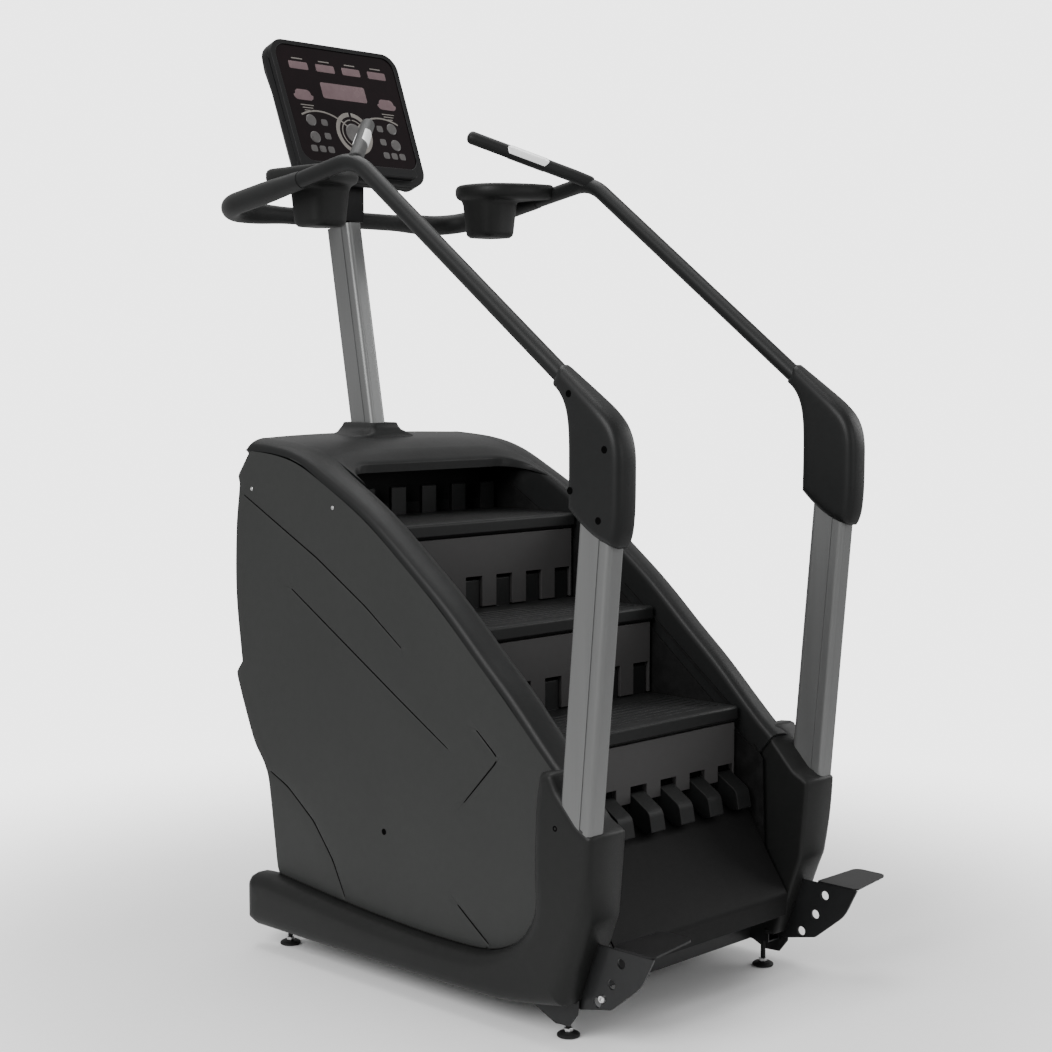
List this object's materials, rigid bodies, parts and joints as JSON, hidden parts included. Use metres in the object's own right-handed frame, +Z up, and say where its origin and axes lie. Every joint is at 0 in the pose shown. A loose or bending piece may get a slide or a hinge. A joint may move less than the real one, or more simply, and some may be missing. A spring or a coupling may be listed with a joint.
{
  "type": "stair climber",
  "caption": "Gym stair climber: revolving stairs between charcoal side panels, sloping handrails on grey posts, cup trays, and a tilted console on a mast.",
  "frame": {"origin": "on the floor, midway between the side panels and between the front and rear ends of the machine", "axes": "+X to the user's right, +Y the way the user faces, towards the console, +Z up"},
  "size_m": [0.893, 1.3897, 2.1282],
  "materials": {
    "frame_paint": "satin black powder coat",
    "panel_plastic": "fine-grained charcoal moulding",
    "shell_plastic": "fine-grained black moulding",
    "cover_plastic": "fine-grained black moulding",
    "post_aluminium": "satin grey anodised",
    "rail_paint": "matte black powder coat",
    "grip_rubber": "matte black moulded rubber",
    "sleeve_plastic": "matte black moulding",
    "console_plastic": "satin black moulding",
    "console_glass": "gloss black overlay",
    "key_plastic": "gloss grey keys",
    "pulse_metal": "brushed",
    "tread_plastic": "ribbed black moulding",
    "riser_plastic": "dark grey moulding",
    "bright_steel": "ground",
    "dark_steel": "oiled dark steel",
    "belt_rubber": "black rubber",
    "cast_metal": "cast",
    "box_plastic": "black",
    "foot_rubber": "black"
  },
  "bodies": {
    "machine": {"arm_left": "grip_rubber", "arm_right": "grip_rubber", "base_cover_left": "cover_plastic", "base_cover_right": "cover_plastic", "base_frame": "frame_paint", "belt": "belt_rubber", "brake_alternator": "cast_metal", "chains": "dark_steel", "console_bezel": "console_plastic", "console_glass": "console_glass", "console_neck": "sleeve_plastic", "console_shell": "console_plastic", "controller_box": "box_plastic", "cup_tray_left": "sleeve_plastic", "cup_tray_right": "sleeve_plastic", "fairing_left": "shell_plastic", "fairing_right": "shell_plastic", "front_cover": "shell_plastic", "grip_left": "grip_rubber", "grip_right": "grip_rubber", "handrail_left": "rail_paint", "handrail_right": "rail_paint", "hood": "shell_plastic", "kick_panel": "shell_plastic", "mast": "post_aluminium", "mast_boot": "shell_plastic", "post_left": "post_aluminium", "post_right": "post_aluminium", "pulse_plates": "pulse_metal", "shaft_bearings": "frame_paint", "side_frames": "frame_paint", "side_panel_left": "panel_plastic", "side_panel_right": "panel_plastic", "sleeve_left": "sleeve_plastic", "sleeve_right": "sleeve_plastic", "step_brackets": "dark_steel", "step_plates": "box_plastic", "tread_4_turned": "tread_plastic", "well_walls": "shell_plastic"},
    "stair_run": {"tread_1": "tread_plastic", "tread_2": "tread_plastic", "tread_3": "tread_plastic", "risers": "riser_plastic", "step_axles": "bright_steel"},
    "upper_drive": {"upper_shaft": "bright_steel", "upper_sprockets": "dark_steel", "drive_pulley": "dark_steel"},
    "lower_drive": {"lower_shaft": "bright_steel", "lower_sprockets": "dark_steel"},
    "brake_rotor": {"flywheel": "dark_steel", "brake_pulley": "dark_steel"},
    "start_button": {"start_key": "key_plastic"},
    "button_1": {"key_1": "key_plastic"},
    "button_2": {"key_2": "key_plastic"},
    "button_3": {"key_3": "key_plastic"},
    "button_4": {"key_4": "key_plastic"},
    "leveller_front_left": {"foot_front_left": "foot_rubber"},
    "leveller_front_right": {"foot_front_right": "foot_rubber"},
    "leveller_rear_left": {"foot_rear_left": "foot_rubber"},
    "leveller_rear_right": {"foot_rear_right": "foot_rubber"}
  },
  "joints": [
    {"name": "stair_travel", "type": "slide", "parent": "machine", "child": "stair_run", "axis": [0, -0.776, -0.6307], "range_m": [-0.05, 0.05]},
    {"name": "upper_shaft_spin", "type": "hinge", "parent": "machine", "child": "upper_drive", "pos_m": [0, 0.23642, 0.92959], "axis": [1, 0, 0], "range_deg": [-45, 45]},
    {"name": "lower_shaft_spin", "type": "hinge", "parent": "machine", "child": "lower_drive", "pos_m": [0, -0.3223, 0.47546], "axis": [1, 0, 0], "range_deg": [-45, 45]},
    {"name": "brake_spin", "type": "hinge", "parent": "machine", "child": "brake_rotor", "pos_m": [0, 0.33, 0.42], "axis": [1, 0, 0], "range_deg": [-150, 150]},
    {"name": "start_button_press", "type": "slide", "parent": "machine", "child": "start_button", "axis": [0, 0.9336, -0.3584], "range_m": [0, 0.0012], "stiffness_N_per_m": 1500, "springref_m": -0.0008},
    {"name": "button_1_press", "type": "slide", "parent": "machine", "child": "button_1", "axis": [0, 0.9336, -0.3584], "range_m": [0, 0.0012], "stiffness_N_per_m": 1500, "springref_m": -0.0008},
    {"name": "button_2_press", "type": "slide", "parent": "machine", "child": "button_2", "axis": [0, 0.9336, -0.3584], "range_m": [0, 0.0012], "stiffness_N_per_m": 1500, "springref_m": -0.0008},
    {"name": "button_3_press", "type": "slide", "parent": "machine", "child": "button_3", "axis": [0, 0.9336, -0.3584], "range_m": [0, 0.0012], "stiffness_N_per_m": 1500, "springref_m": -0.0008},
    {"name": "button_4_press", "type": "slide", "parent": "machine", "child": "button_4", "axis": [0, 0.9336, -0.3584], "range_m": [0, 0.0012], "stiffness_N_per_m": 1500, "springref_m": -0.0008},
    {"name": "leveller_front_left_screw", "type": "slide", "parent": "machine", "child": "leveller_front_left", "axis": [0, 0, -1], "range_m": [0, 0.01]},
    {"name": "leveller_front_right_screw", "type": "slide", "parent": "machine", "child": "leveller_front_right", "axis": [0, 0, -1], "range_m": [0, 0.01]},
    {"name": "leveller_rear_left_screw", "type": "slide", "parent": "machine", "child": "leveller_rear_left", "axis": [0, 0, -1], "range_m": [0, 0.01]},
    {"name": "leveller_rear_right_screw", "type": "slide", "parent": "machine", "child": "leveller_rear_right", "axis": [0, 0, -1], "range_m": [0, 0.01]}
  ],
  "couplings": [
    {"joint": "upper_shaft_spin", "follows": "stair_travel", "rad_per_m": 11.696},
    {"joint": "lower_shaft_spin", "follows": "stair_travel", "rad_per_m": 11.696},
    {"joint": "brake_spin", "follows": "stair_travel", "rad_per_m": 46.784}
  ]
}
